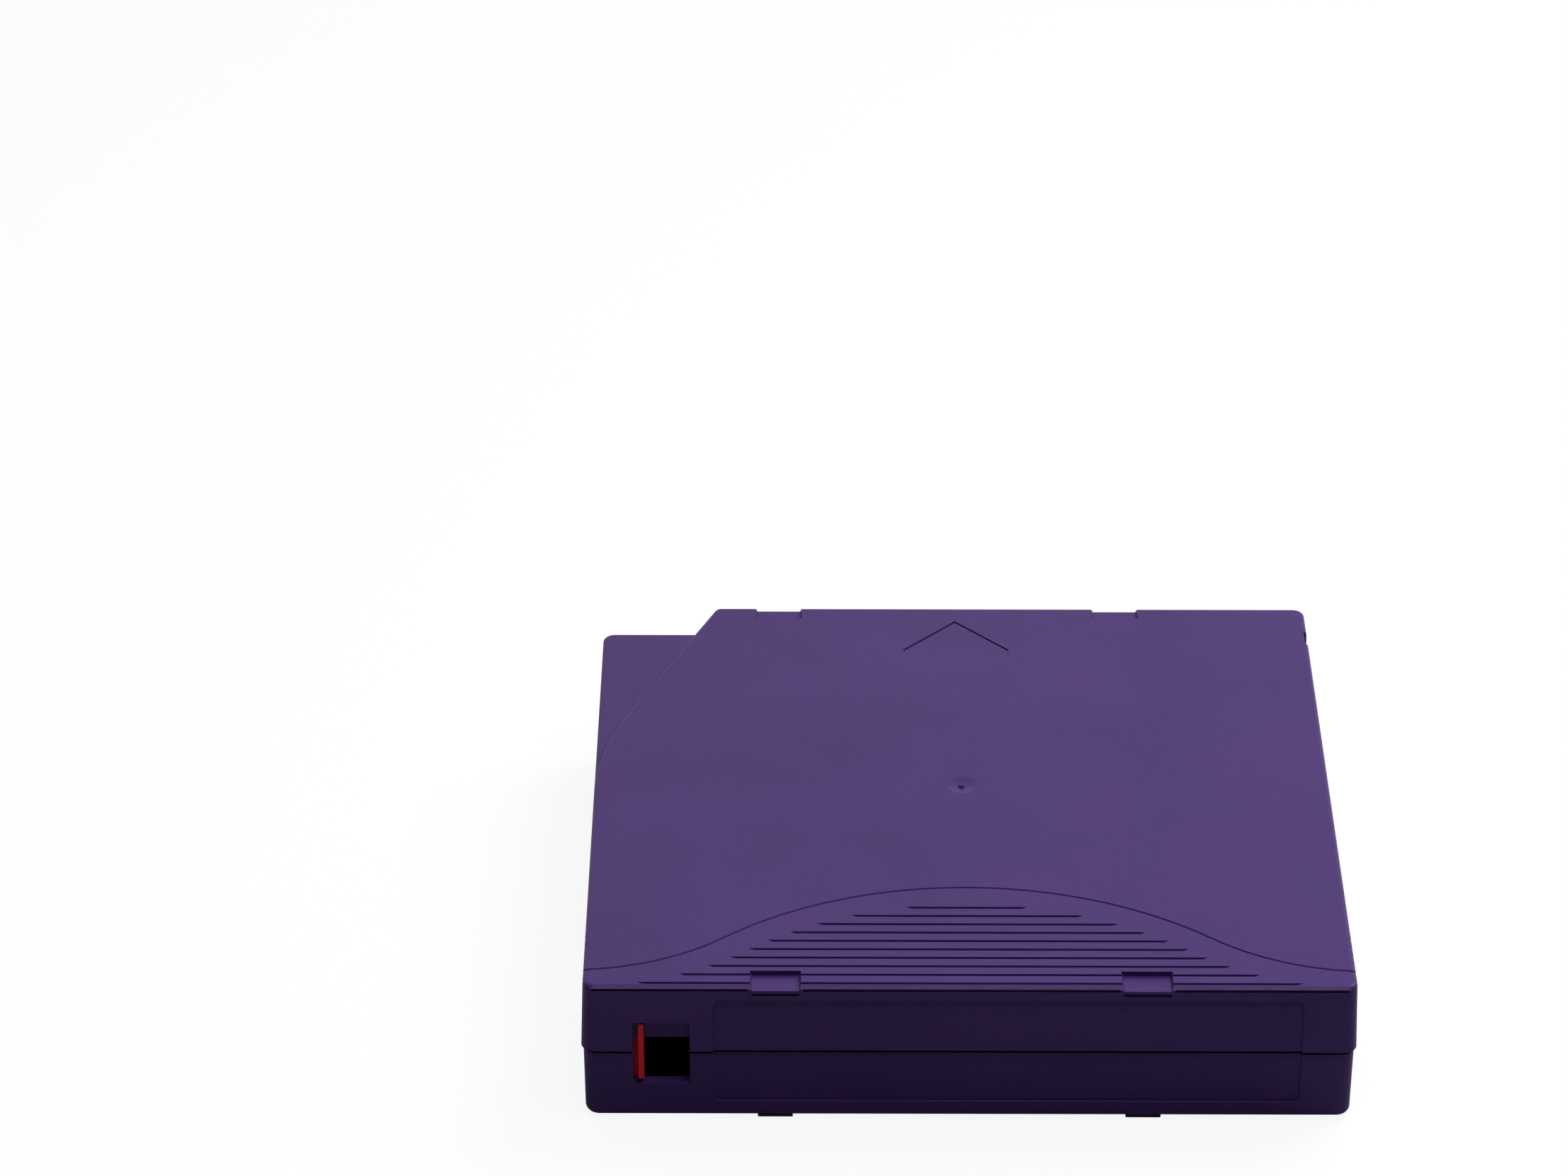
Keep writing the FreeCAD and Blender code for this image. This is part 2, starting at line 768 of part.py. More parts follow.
def tape_door():
    """Flat plate with a lug that a drive pushes and a block that the spring pushes."""
    low = floor_top - door_groove + door_gap
    high = roof_bottom + door_top_groove - door_gap
    plate = box(door_outer_x, door_outer_x + door_thickness, door_rear_y, door_front_y, low, high)
    lug = box(door_outer_x, door_outer_x + door_thickness,
              door_front_y, notch_wall_y - lower_inset - door_gap,
              parting_height - door_lug_height / 2, parting_height + door_lug_height / 2)
    half = door_pusher / 2
    pusher = box(spring_x - half, spring_x + half, door_rear_y, door_rear_y + door_pusher,
                 parting_height - half, parting_height + half)
    return one_solid(plate.multiFuse([lug, pusher]))


def helix_spring(radius, wire, turns, length):
    """Wire coil about +Z made of tangent half turns, each an arc tilted to climb half a pitch."""
    climb = (length - wire) / (2 * turns)
    arcs = []
    for half_turn in range(2 * turns):
        way = 1 if half_turn % 2 == 0 else -1
        z = wire / 2 + climb * half_turn
        arcs.append(Part.Arc(vec(way * radius, 0, z), vec(0, way * radius, z + climb / 2),
                             vec(-way * radius, 0, z + climb)).toShape())
    section = Part.Wire(Part.Circle(vec(radius, 0, wire / 2), vec(0, 1, 0), wire / 2).toShape())
    return Part.Wire(arcs).makePipeShell([section], True, False)


def door_spring():
    coil = helix_spring(door_spring_radius, door_spring_wire, door_spring_turns,
                        door_spring_length - 2 * door_gap)
    coil.rotate(vec(0, 0), vec(1, 0, 0), -90)
    coil.translate(vec(spring_x, spring_rear_y + door_gap, parting_height))
    return coil


def write_protect_switch():
    """Slide with a tall finger rib; its body fills the window when it is pushed across."""
    rib_right = switch_rib_left + switch_rib_width
    body_left = window_left - switch_travel + switch_rib_width
    y_front = -inner_y + switch_clearance
    low = floor_top + switch_clearance
    high = window_through_top - switch_top_gap
    body = box(max(body_left, -inner_x + switch_clearance), rib_right,
               y_front, y_front + switch_body_thickness, low, high)
    body = body.makeFillet(inner_corner_radius, upright_edges(body, [(body.BoundBox.XMin, y_front)]))
    y_rib = -half_depth + switch_rib_setback
    foot = window_bottom + switch_rib_foot
    rib = box(switch_rib_left, rib_right, y_rib, y_front, foot, high)
    tip = box(switch_rib_left, rib_right, y_rib, -half_depth + window_ledge_depth - switch_clearance,
              foot, window_top - switch_top_gap)
    return one_solid(body.multiFuse([rib, tip]))


def face_tooth(inner, outer, root_z, tip_z):
    """One straight flanked tooth of a face gear, on the +X axis, sunk a little into its ring."""
    middle = (root_z + tip_z) / 2
    way = 1 if tip_z > root_z else -1
    base_z = root_z - way * joint_sink
    half_angle = math.pi / (2 * gear_teeth)
    corners = []
    for z in (base_z, tip_z):
        for r in (inner, outer):
            half = r * math.tan(half_angle) - tooth_backlash - way * (z - middle) * tooth_flank
            corners.append((vec(r, -half, z), vec(r, half, z)))
    (a, b), (c, d), (e, f), (g, h) = corners
    faces = [closed_face(loop) for loop in ([a, b, d, c], [e, f, h, g], [a, c, g, e],
                                           [b, d, h, f], [a, b, f, e], [c, d, h, g])]
    return Part.Solid(Part.Shell(faces))


def face_teeth(inner, outer, root_z, tip_z, offset, chosen=None):
    """Ring of face gear teeth; offset is in tooth pitches, chosen keeps some of them."""
    tooth = face_tooth(inner, outer, root_z, tip_z)
    teeth = []
    for index in range(gear_teeth):
        angle = 360.0 * (index + offset) / gear_teeth
        if chosen is None or chosen(angle):
            teeth.append(turned(tooth, angle))
    return teeth


def arc_middles():
    return [lock_first_angle + 360.0 * k / lock_arc_count for k in range(lock_arc_count)]


def on_lock_arc(angle):
    pitch = 360.0 / gear_teeth
    return any(abs((angle - middle + 180) % 360 - 180) < lock_arc_angle / 2 - pitch / 2
               for middle in arc_middles())


def leg_places():
    angles = [math.radians(middle + 180.0 / lock_arc_count) for middle in arc_middles()]
    return [(leg_circle_radius * math.cos(a), leg_circle_radius * math.sin(a)) for a in angles]


def reel_hub():
    """Hub, lower flange, drive gear below and toothed lock arcs above, moulded in one."""
    profile = [(hub_bore_radius, flange_bottom), (flange_radius, flange_top - flange_rim_thickness),
               (flange_radius, flange_top), (hub_radius, flange_top), (hub_radius, hub_top),
               (hub_bore_radius, hub_top)]
    hub = revolve(profile)
    gear_root = web_bottom - joint_sink
    adds = [disc(hub_bore_radius + joint_sink, web_bottom, web_top)]
    adds.append(ring(gear_outer_radius, gear_inner_radius, gear_root, web_bottom + joint_sink))
    adds += face_teeth(gear_inner_radius, gear_outer_radius, gear_root, gear_root - tooth_height, 0.0)
    for middle in arc_middles():
        foot = web_top - joint_sink
        arc = revolve([(lock_inner_radius, foot), (lock_outer_radius, foot),
                       (lock_outer_radius, lock_root), (lock_inner_radius, lock_root)], lock_arc_angle)
        adds.append(turned(arc, middle - lock_arc_angle / 2))
    adds += face_teeth(lock_inner_radius, lock_outer_radius, lock_root, lock_root + tooth_height,
                       0.0, on_lock_arc)
    hub = hub.multiFuse(adds)
    cuts = [disc(leg_radius + leg_gap, 0.0, web_top + tool_reach, x, y) for x, y in leg_places()]
    return one_solid(hub.cut(cuts))


def upper_flange():
    """Flat ring with a thin rim and a spigot that centres it in the hub."""
    top = hub_top + flange_thickness
    bore = hub_bore_radius - spigot_width
    profile = [(bore, hub_top - spigot_length), (hub_bore_radius - tape_gap / 2, hub_top - spigot_length),
               (hub_bore_radius - tape_gap / 2, hub_top), (flange_radius, hub_top),
               (flange_radius, hub_top + flange_rim_thickness), (hub_radius, top), (bore, top)]
    return revolve(profile)


def hub_drive_plate():
    return ring(plate_outer_radius, plate_inner_radius, web_bottom - plate_thickness, web_bottom)


def magnetic_tape():
    return ring(pack_radius, hub_radius, pack_bottom, pack_bottom + tape_width)


def reel_brake():
    """Disc with downward teeth, a slotted boss above and a nose that the release pad lifts."""
    disc_part = disc(brake_disc_radius, brake_root, brake_top)
    teeth = face_teeth(lock_inner_radius, lock_outer_radius, brake_root, brake_root - tooth_height, 0.5)
    boss = disc(brake_boss_radius, brake_top - joint_sink, boss_top)
    nose = disc(nose_radius, pad_top + pad_gap, brake_root + joint_sink)
    slot = box(-key_length / 2 - key_gap, key_length / 2 + key_gap, -key_width / 2 - key_gap,
               key_width / 2 + key_gap, slot_floor, case_height)
    return one_solid(disc_part.multiFuse(teeth + [boss, nose]).cut(slot))


def brake_spring():
    coil = helix_spring(brake_spring_radius, brake_spring_wire, brake_spring_turns,
                        roof_bottom - brake_top - 2 * pad_gap)
    coil.translate(vec(0, 0, brake_top + pad_gap))
    return coil


def release_pad():
    """Three armed plate that lies in the hub, with a leg at the end of each arm."""
    parts = []
    for x, y in leg_places():
        angle = math.degrees(math.atan2(y, x))
        arm = box(0.0, leg_circle_radius, -pad_arm_width / 2, pad_arm_width / 2, pad_bottom, pad_top)
        parts.append(turned(arm, angle))
        parts.append(disc(pad_arm_width / 2, pad_bottom, pad_top, x, y))
        parts.append(disc(leg_radius, leg_tip_height, pad_bottom + joint_sink, x, y))
    return one_solid(disc(pad_hub_radius, pad_bottom, pad_top).multiFuse(parts))


def leader_pin():
    low = floor_top + pin_end_gap
    high = roof_bottom - pin_end_gap
    profile = [(0.0, low), (pin_head_radius, low), (pin_head_radius, low + pin_head_height),
               (pin_radius, low + pin_head_height), (pin_radius, high - pin_head_height),
               (pin_head_radius, high - pin_head_height), (pin_head_radius, high), (0.0, high)]
    return revolve(profile, 360.0, pin_x, pin_y)


def clip_heights():
    return pack_bottom, pack_bottom + tape_width


def leader_pin_clip():
    low, high = clip_heights()
    sleeve = ring(clip_radius, pin_radius + clip_bore_gap, low, high, pin_x, pin_y)
    slot = box(pin_x, pin_x + clip_radius, pin_y - clip_slot / 2, pin_y + clip_slot / 2, low, high)
    return one_solid(sleeve.cut(slot))


def tape_leader():
    """Free span of the tape from the pack's edge to the clip, drawn thicker than the real film."""
    at_pack = -pack_radius - leader_gap - leader_thickness
    at_pin = pin_x - leader_offset
    low, high = clip_heights()
    film = prism_z([(at_pack, 0.0), (at_pack + leader_thickness, 0.0), (at_pin + leader_thickness, pin_y),
                    (at_pin, pin_y)], low + leader_gap, high - leader_gap)
    return film.cut(disc(clip_radius, low, high, pin_x, pin_y))


def pin_leaf(z0, z1):
    """Leaf spring bent round the far side of a pin head."""
    inner = leaf_inner_radius()
    bow = ring(inner + leaf_thickness, inner, z0, z1, pin_x, pin_y)
    return bow.cut(box(pin_x - wall_tool, pin_x + leaf_end_offset,
                       pin_y - wall_tool, pin_y + wall_tool, z0, z1))


def pin_spring_lower():
    return pin_leaf(floor_top, floor_top + leaf_height)


def pin_spring_upper():
    return pin_leaf(roof_bottom - leaf_height, roof_bottom)


def board_ramps():
    """Two ramps in the rear corner that carry the tilted memory board."""
    run = board_ramp_height / math.tan(math.radians(board_tilt))
    root_y = -inner_y - wall_root
    root_z = floor_top - wall_root
    ramps = []
    for x in (board_left + ramp_thickness, board_left + board_length - 2 * ramp_thickness):
        ramps.append(prism_x([(root_y, root_z), (root_y, floor_top + board_ramp_height),
                              (-inner_y, floor_top + board_ramp_height),
                              (-inner_y + run, floor_top), (-inner_y + run, root_z)],
                             x, x + ramp_thickness))
    return ramps


def laid_on_ramps(shape):
    """Turn a piece drawn flat, its long side on X, onto the slope of the ramps."""
    copy = shape.copy()
    copy.rotate(vec(0, 0), vec(1, 0, 0), -board_tilt)
    tilt = math.radians(board_tilt)
    spare = (board_ramp_height / math.sin(tilt) - board_width) / 2
    copy.translate(vec(board_left, spare * math.cos(tilt) - inner_y,
                       floor_top + board_ramp_height - spare * math.sin(tilt)))
    return copy


def memory_board():
    return laid_on_ramps(box(0.0, board_length, 0.0, board_width, 0.0, board_thickness))


def memory_coil():
    """Copper loop round the board's edge."""
    top = board_thickness + coil_thickness
    outer = box(coil_margin, board_length - coil_margin, coil_margin, board_width - coil_margin,
                board_thickness, top)
    edge = coil_margin + coil_band
    return laid_on_ramps(outer.cut(box(edge, board_length - edge, edge, board_width - edge,
                                       board_thickness, top)))


def memory_chip():
    x = (board_length - chip_size) / 2
    y = (board_width - chip_size) / 2
    top = board_thickness + chip_height
    return laid_on_ramps(box(x, x + chip_size, y, y + chip_size, board_thickness, top))


os.makedirs("parts", exist_ok=True)
for make in (upper_shell, lower_shell, shell_screws, tape_door, door_spring, write_protect_switch, reel_hub,
             upper_flange, hub_drive_plate, magnetic_tape, reel_brake, brake_spring, release_pad, leader_pin,
             leader_pin_clip, tape_leader, pin_spring_lower, pin_spring_upper, memory_board, memory_coil,
             memory_chip):
    piece = make()
    save(piece, make.__name__)
    print(make.__name__, len(piece.Solids), piece.isValid(), round(piece.Volume, 1))
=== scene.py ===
import json
import math

import bmesh
import bpy
from bpy.props import FloatProperty, FloatVectorProperty, IntProperty, PointerProperty
from mathutils import Matrix, Vector


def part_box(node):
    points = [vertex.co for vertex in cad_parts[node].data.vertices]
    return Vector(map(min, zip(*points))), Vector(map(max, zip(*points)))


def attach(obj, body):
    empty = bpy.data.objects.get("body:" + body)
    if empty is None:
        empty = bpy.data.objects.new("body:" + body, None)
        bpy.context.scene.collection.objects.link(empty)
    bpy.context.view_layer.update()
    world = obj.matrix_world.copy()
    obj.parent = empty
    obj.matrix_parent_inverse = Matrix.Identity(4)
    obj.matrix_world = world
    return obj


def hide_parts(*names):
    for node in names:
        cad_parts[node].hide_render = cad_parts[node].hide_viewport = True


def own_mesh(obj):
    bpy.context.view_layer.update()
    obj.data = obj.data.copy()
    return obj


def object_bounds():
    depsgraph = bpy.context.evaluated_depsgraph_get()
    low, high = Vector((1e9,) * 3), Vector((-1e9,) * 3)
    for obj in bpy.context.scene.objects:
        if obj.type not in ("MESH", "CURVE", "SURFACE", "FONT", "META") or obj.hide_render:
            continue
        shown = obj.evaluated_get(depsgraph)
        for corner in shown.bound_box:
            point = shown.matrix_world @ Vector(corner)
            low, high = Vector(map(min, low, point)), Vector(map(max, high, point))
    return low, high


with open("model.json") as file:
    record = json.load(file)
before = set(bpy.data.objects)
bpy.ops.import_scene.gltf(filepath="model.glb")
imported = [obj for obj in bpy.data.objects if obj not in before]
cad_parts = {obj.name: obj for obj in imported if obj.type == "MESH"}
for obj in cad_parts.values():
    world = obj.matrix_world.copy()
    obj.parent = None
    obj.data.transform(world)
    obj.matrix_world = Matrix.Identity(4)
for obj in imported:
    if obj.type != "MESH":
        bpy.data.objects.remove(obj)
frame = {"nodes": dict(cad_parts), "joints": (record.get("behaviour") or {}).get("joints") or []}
cad_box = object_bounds()

bl_info = {
    "name": "Data Tape Cartridge Finish",
    "version": (1, 0, 0),
    "blender": (4, 5, 0),
    "location": "View3D > Sidebar > Cartridge",
    "description": "Finishes for every piece of a data tape cartridge, its fine pieces and its stage",
    "category": "Object",
}

MM = 0.001

# Marks in the finishes of steel, tape, board and small mouldings
FLOW_MARK = 6.0 * MM
STEEL_LINE = 1.2 * MM
STEEL_LINE_DEPTH = 0.004 * MM
STEEL_SPOT = 3.0 * MM
TAPE_RING = 0.25 * MM
TAPE_RING_DEPTH = 0.02 * MM
TAPE_PACK = 2.5 * MM
GLASS_WEAVE = 3.0 * MM
GLASS_WEAVE_DEPTH = 0.004 * MM
MASK_SPOT = 2.0 * MM
PLASTIC_IOR = 1.5
FILM_IOR = 1.55

# Joining of a CAD node's triangles, and the corner above which an edge stays sharp
WELD_REACH = 0.001 * MM
SHARP_CORNER = math.radians(28.0)

# Sockets of the Mix node for colours, where a name stands for more than one socket
MIX_FACTOR = 0
MIX_FIRST = 6
MIX_SECOND = 7
MIX_RESULT = 2

# Floor: half its side in metres, its reflectance, and the reflectance and glow that the eye sees
FLOOR_REACH = 4.0
FLOOR_REFLECTANCE = 0.40
FLOOR_REFLECTANCE_SEEN = 0.10
FLOOR_GLOW_SEEN = 0.90

# The tent of light is at full strength where a direction points this much to the back, out of 1
TENT_EDGE = 0.6

# Camera: width of its sensor in millimetres, and the nearest and farthest distances in metres
SENSOR_WIDTH = 36.0
CLIP_NEAR = 0.01
CLIP_FAR = 20.0


def colour(name, rgb, about):
    """A colour that a user can pick, in linear light."""
    return FloatVectorProperty(name=name, description=about, subtype="COLOR", size=3,
                               min=0.0, max=1.0, default=rgb)


def length(name, mm, about):
    """A length that a user can set, kept in metres."""
    return FloatProperty(name=name, description=about, subtype="DISTANCE", unit="LENGTH", min=0.0,
                         default=mm * MM, precision=5)


def lengths(name, metres, about):
    """A place or a pair of widths that a user can set."""
    return FloatVectorProperty(name=name, description=about, subtype="TRANSLATION", unit="LENGTH",
                               size=len(metres), default=metres)


def angle(name, degrees, about):
    """An angle that a user can set."""
    return FloatProperty(name=name, description=about, subtype="ANGLE", unit="ROTATION",
                         default=math.radians(degrees))


def power(name, watts, about):
    """The power of a lamp."""
    return FloatProperty(name=name, description=about, unit="POWER", default=watts, min=0.0)


def count(name, number, low, high, about):
    """A whole number that a user can set."""
    return IntProperty(name=name, description=about, default=number, min=low, max=high)


class CartridgeColours(bpy.types.PropertyGroup):
    """Colours of the mouldings and small pieces."""

    shell: colour("Shell", (0.058, 0.025, 0.141), "Purple of both case mouldings")
    shell_shade: colour("Shell shade", (0.052, 0.022, 0.128), "Darker cloud in the purple")
    # Painted highlight: a lighter purple along the roof's rounded edge
    shell_edge_highlight: colour("Shell edge", (0.170, 0.095, 0.280), "Rubbed purple on the roof's edge")
    switch: colour("Switch", (0.85, 0.022, 0.045), "Red of the write protect slide")
    door: colour("Door", (0.030, 0.024, 0.045), "Dark plastic of the tape door")
    hub: colour("Hub", (0.62, 0.62, 0.58), "Off white of hub and flanges")
    brake: colour("Brake", (0.70, 0.69, 0.63), "Plastic of the reel brake")
    pad: colour("Pad", (0.045, 0.045, 0.052), "Plastic of the release pad")
    clip: colour("Clip", (0.60, 0.57, 0.48), "Plastic of the leader pin clip")
    tape: colour("Tape", (0.018, 0.015, 0.014), "Edge of the wound tape")
    steel: colour("Steel", (0.56, 0.56, 0.57), "Bare steel")
    board: colour("Board", (0.010, 0.085, 0.032), "Solder mask of the memory board")
    copper: colour("Copper", (0.80, 0.42, 0.22), "Etched aerial loop")
    chip: colour("Chip", (0.012, 0.012, 0.013), "Moulded body of the chip")


class CartridgeSizes(bpy.types.PropertyGroup):
    """Sizes of the fine pieces and of the moulded texture."""

    grain: length("Grain", 0.28, "Size of the moulded grain")
    grain_height: length("Grain height", 0.012, "Depth of the moulded grain")
    cloud: length("Cloud", 22.0, "Size of the slow changes of colour")
    # Width of the painted highlight along the roof's edge
    highlight_band: length("Edge band", 0.55, "Width of the rubbed band along the roof's edge")
    door_wire: length("Door spring wire", 0.3, "Wire of the door's return spring")
    door_turns: count("Door spring turns", 26, 4, 60, "Turns of the door's return spring")
    brake_wire: length("Brake spring wire", 1.0, "Wire of the brake spring")
    brake_turns: count("Brake spring turns", 4, 2, 12, "Turns of the brake spring")
    screw_shank: length("Screw shank", 1.9, "Width of the screws' shanks")
    thread_pitch: length("Thread pitch", 0.85, "Pitch of the screws' threads")
    thread_section: length("Thread section", 0.5, "Width across the thread's section")
    thread_turns: count("Thread turns", 10, 2, 20, "Turns of thread on each screw")


class CartridgeStage(bpy.types.PropertyGroup):
    """Camera and light. Lamps are placed from the middle of the object's foot."""

    camera_place: lengths("Camera", (-0.022493, -0.695133, 0.457992), "Place of the camera")
    camera_pitch: angle("Pitch", 30.1157, "Tilt of the camera below the level")
    camera_turn: angle("Turn", -0.2328, "Turn of the camera towards the right")
    lens: FloatProperty(name="Lens", description="Focal length for a 36 mm wide sensor",
                        unit="CAMERA", default=132.175, min=10.0)
    key_power: power("Key light", 2.3, "Power of the soft light behind and to the right")
    key_size: lengths("Key size", (0.30, 0.30), "Width and depth of the soft light")
    key_place: lengths("Key place", (0.30, 0.22, 0.45), "Place of the soft light")
    strip_power: power("Strip light", 0.80, "Power of the strip above the object")
    strip_size: lengths("Strip size", (0.30, 0.05), "Width and depth of the strip")
    strip_place: lengths("Strip place", (0.06, -0.13, 0.43), "Place of the strip")
    ambient: FloatProperty(name="Ambient", description="Strength of the even light from the back",
                           default=1.35, min=0.0)


class Value:
    """A shader socket that takes part in arithmetic, which adds Math nodes."""

    def __init__(self, shading, socket):
        self.shading = shading
        self.socket = socket

    def __add__(self, other):
        return self.shading.maths("ADD", self, other)

    __radd__ = __add__

    def __sub__(self, other):
        return self.shading.maths("SUBTRACT", self, other)

    def __rsub__(self, other):
        return self.shading.maths("SUBTRACT", other, self)

    def __mul__(self, other):
        return self.shading.maths("MULTIPLY", self, other)

    __rmul__ = __mul__


class Shading:
    """The nodes of one material or world, and the ways to add to them."""

    def __init__(self, owner):
        owner.use_nodes = True
        self.owner = owner
        self.tree = owner.node_tree
        self.tree.nodes.clear()

    def node(self, kind, settings=None, inputs=None, output=0):
        """Adds a node: settings first, then values or links. Gives one of its outputs."""
        made = self.tree.nodes.new(kind)
        for key, value in (settings or {}).items():
            if key == "stops":
                self.fill_ramp(made.color_ramp, value)
            else:
                setattr(made, key, value)
        for key, value in (inputs or {}).items():
            if isinstance(value, Value):
                self.tree.links.new(value.socket, made.inputs[key])
            else:
                made.inputs[key].default_value = value
        return Value(self, made.outputs[output])

    def fill_ramp(self, ramp, stops):
        """Gives a new ramp, which has two stops, its places and its levels of grey."""
        for element, (place, level) in zip(ramp.elements, stops):
            element.position = place
            element.color = (level, level, level, 1.0)

    def maths(self, operation, first, second=0.0):
        return self.node("ShaderNodeMath", {"operation": operation}, {0: first, 1: second})

    def noise(self, size, detail=2.0, roughness=0.5, spot=None):
        """Cloudy value from 0 to 1 whose features are about size across."""
        return self.node("ShaderNodeTexNoise", None,
                         {"Vector": spot or self.spot, "Scale": 1.0 / size, "Detail": detail,
                          "Roughness": roughness}, "Fac")

    def ramp(self, value, stops):
        return self.node("ShaderNodeValToRGB", {"stops": stops}, {"Fac": value})

    def patches(self, noise, spread):
        """Patches of 0 and 1 from a noise; a wider spread makes softer ones."""
        return self.ramp(noise, [(0.5 - spread, 0.0), (0.5 + spread, 1.0)])

    def blend(self, factor, first, second):
        """Colour between first and second."""
        first, second = (end if isinstance(end, Value) else (*end, 1.0) for end in (first, second))
        return self.node("ShaderNodeMix", {"data_type": "RGBA"},
                         {MIX_FACTOR: factor, MIX_FIRST: first, MIX_SECOND: second}, MIX_RESULT)

    def step(self, value, start, end):
        """0 at start and before it, 1 at end and past it, and an even change between them."""
        return self.node("ShaderNodeMapRange", None,
                         {"Value": value, "From Min": start, "From Max": end})

    def stretched(self, x, y, z):
        """Object coordinates multiplied along each axis, so marks get shorter there."""
        return self.node("ShaderNodeMapping", None, {"Vector": self.spot, "Scale": (x, y, z)})

    def bump(self, height, distance):
        return self.node("ShaderNodeBump", None, {"Height": height, "Distance": distance})

    def rays(self, *kinds):
        """1 for rays of the named kinds and 0 for all others."""
        first, *rest = [self.node("ShaderNodeLightPath", output=f"Is {kind} Ray") for kind in kinds]
        for part in rest:
            first = first + part
        return first


class Finish(Shading):
    """One material, with a place in the object's own coordinates."""

    def __init__(self, name):
        super().__init__(bpy.data.materials.new(name))
        self.output = self.tree.nodes.new("ShaderNodeOutputMaterial")
        self.spot = self.node("ShaderNodeTexCoord", output="Object")

    def surface(self, **sockets):
        """Sets the shader's sockets and links it to the output."""
        named = {key.replace("_", " "): value for key, value in sockets.items()}
        shader = self.node("ShaderNodeBsdfPrincipled", None, named)
        self.tree.links.new(shader.socket, self.output.inputs["Surface"])
        return self.owner


def shade(tint, share):
    """A colour made darker, or lighter where share is above 1."""
    return [part * share for part in tint]


def painted_edge_highlight(finish, sizes):
    """1 on the rounded edge of the roof, where a lighter purple is painted as a highlight, and 0
    elsewhere.
    """
    band = sizes.highlight_band
    half_width, half_depth, top = cad_box[1]
    x, y, z = (finish.node("ShaderNodeSeparateXYZ", None, {"Vector": finish.spot}, axis)
               for axis in "XYZ")
    from_side = finish.maths("MINIMUM", half_width - finish.maths("ABSOLUTE", x),
                             half_depth - finish.maths("ABSOLUTE", y))
    from_top = top - z
    beside = finish.step(from_side, band, 0.8 * band)
    below_roof = finish.step(from_top, 0.02 * band, 0.10 * band)
    above_wall = finish.step(from_top, 1.1 * band, 0.7 * band)
    patchy = finish.ramp(finish.noise(sizes.grain * 5.0, 2.0), [(0.30, 0.7), (0.60, 1.0)])
    return beside * below_roof * above_wall * patchy


def moulded_plastic(name, light, dark, sizes, edge=None, roughness=0.31, gloss=0.10):
    """Finely grained moulding: slow clouds of colour, dark specks, a fine grain and worn sheen, with
    a painted highlight on the roof's edge where an edge colour is given.
    """
    finish = Finish(name)
    cloud = finish.patches(finish.noise(sizes.cloud, 3.0, 0.55), 0.16)
    speck = finish.ramp(finish.noise(sizes.grain * 2.5, 1.0), [(0.35, 1.0), (0.62, 0.0)])
    tone = finish.blend(cloud, dark, light)
    tone = finish.blend(0.10 * speck, tone, shade(dark, 0.55))
    # Painted highlight: the roof's rounded edge is made lighter where an edge colour is given
    if edge is not None:
        tone = finish.blend(painted_edge_highlight(finish, sizes), tone, edge)
    grain = finish.noise(sizes.grain, 2.0, 0.6)
    wear = finish.noise(sizes.cloud * 0.3)
    rough = roughness + 0.10 * (wear - 0.5) + 0.08 * (grain - 0.5)
    return finish.surface(Base_Color=tone, Roughness=rough, IOR=PLASTIC_IOR,
                          Specular_IOR_Level=gloss, Normal=finish.bump(grain, sizes.grain_height))


def smooth_plastic(name, tint, sizes, roughness=0.35, gloss=0.4):
    """Small internal moulding: smooth, a little mottled, with faint flow marks."""
    finish = Finish(name)
    flow = finish.noise(FLOW_MARK, 3.0, 0.6, finish.stretched(1.0, 1.0, 0.25))
    tone = finish.blend(finish.patches(flow, 0.2), shade(tint, 0.88), tint)
    fine = finish.noise(sizes.grain * 0.7, 2.0)
    rough = roughness + 0.12 * (flow - 0.5)
    return finish.surface(Base_Color=tone, Roughness=rough, IOR=PLASTIC_IOR,
                          Specular_IOR_Level=gloss,
                          Normal=finish.bump(fine, sizes.grain_height * 0.4))


def worked_metal(name, tint, roughness=0.3, lines=(1.0, 1.0, 14.0)):
    """Drawn, turned, stamped or etched metal: fine lines along the working and dull spots."""
    finish = Finish(name)
    line = finish.noise(STEEL_LINE, 3.0, 0.65, finish.stretched(*lines))
    dull = finish.noise(STEEL_SPOT, 3.0)
    tone = finish.blend(finish.patches(dull, 0.15), shade(tint, 0.78), tint)
    rough = roughness + 0.16 * (line - 0.5) + 0.12 * (dull - 0.5)
    return finish.surface(Base_Color=tone, Metallic=1.0, Roughness=rough,
                          Normal=finish.bump(line, STEEL_LINE_DEPTH))


def wound_tape(name, tint):
    """Edges of thousands of turns: fine rings about the reel's axis, some of them raised."""
    finish = Finish(name)
    flat = finish.node("ShaderNodeVectorMath", {"operation": "MULTIPLY"},
                       {0: finish.spot, 1: (1.0, 1.0, 0.0)})
    radius = finish.node("ShaderNodeVectorMath", {"operation": "LENGTH"}, {0: flat}, "Value")

    def ring_noise(size, detail, roughness):
        return finish.node("ShaderNodeTexNoise", {"noise_dimensions": "1D"},
                           {"W": radius, "Scale": 1.0 / size, "Detail": detail,
                            "Roughness": roughness}, "Fac")

    rings = ring_noise(TAPE_RING, 3.0, 0.7)
    packs = ring_noise(TAPE_PACK, 1.0, 0.5)
    tone = finish.blend(finish.patches(rings, 0.15), shade(tint, 0.6), shade(tint, 1.7))
    rough = 0.22 + 0.18 * (rings - 0.5) + 0.12 * (packs - 0.5)
    return finish.surface(Base_Color=tone, Roughness=rough, IOR=FILM_IOR, Specular_IOR_Level=0.5,
                          Normal=finish.bump(rings + packs * 0.6, TAPE_RING_DEPTH))


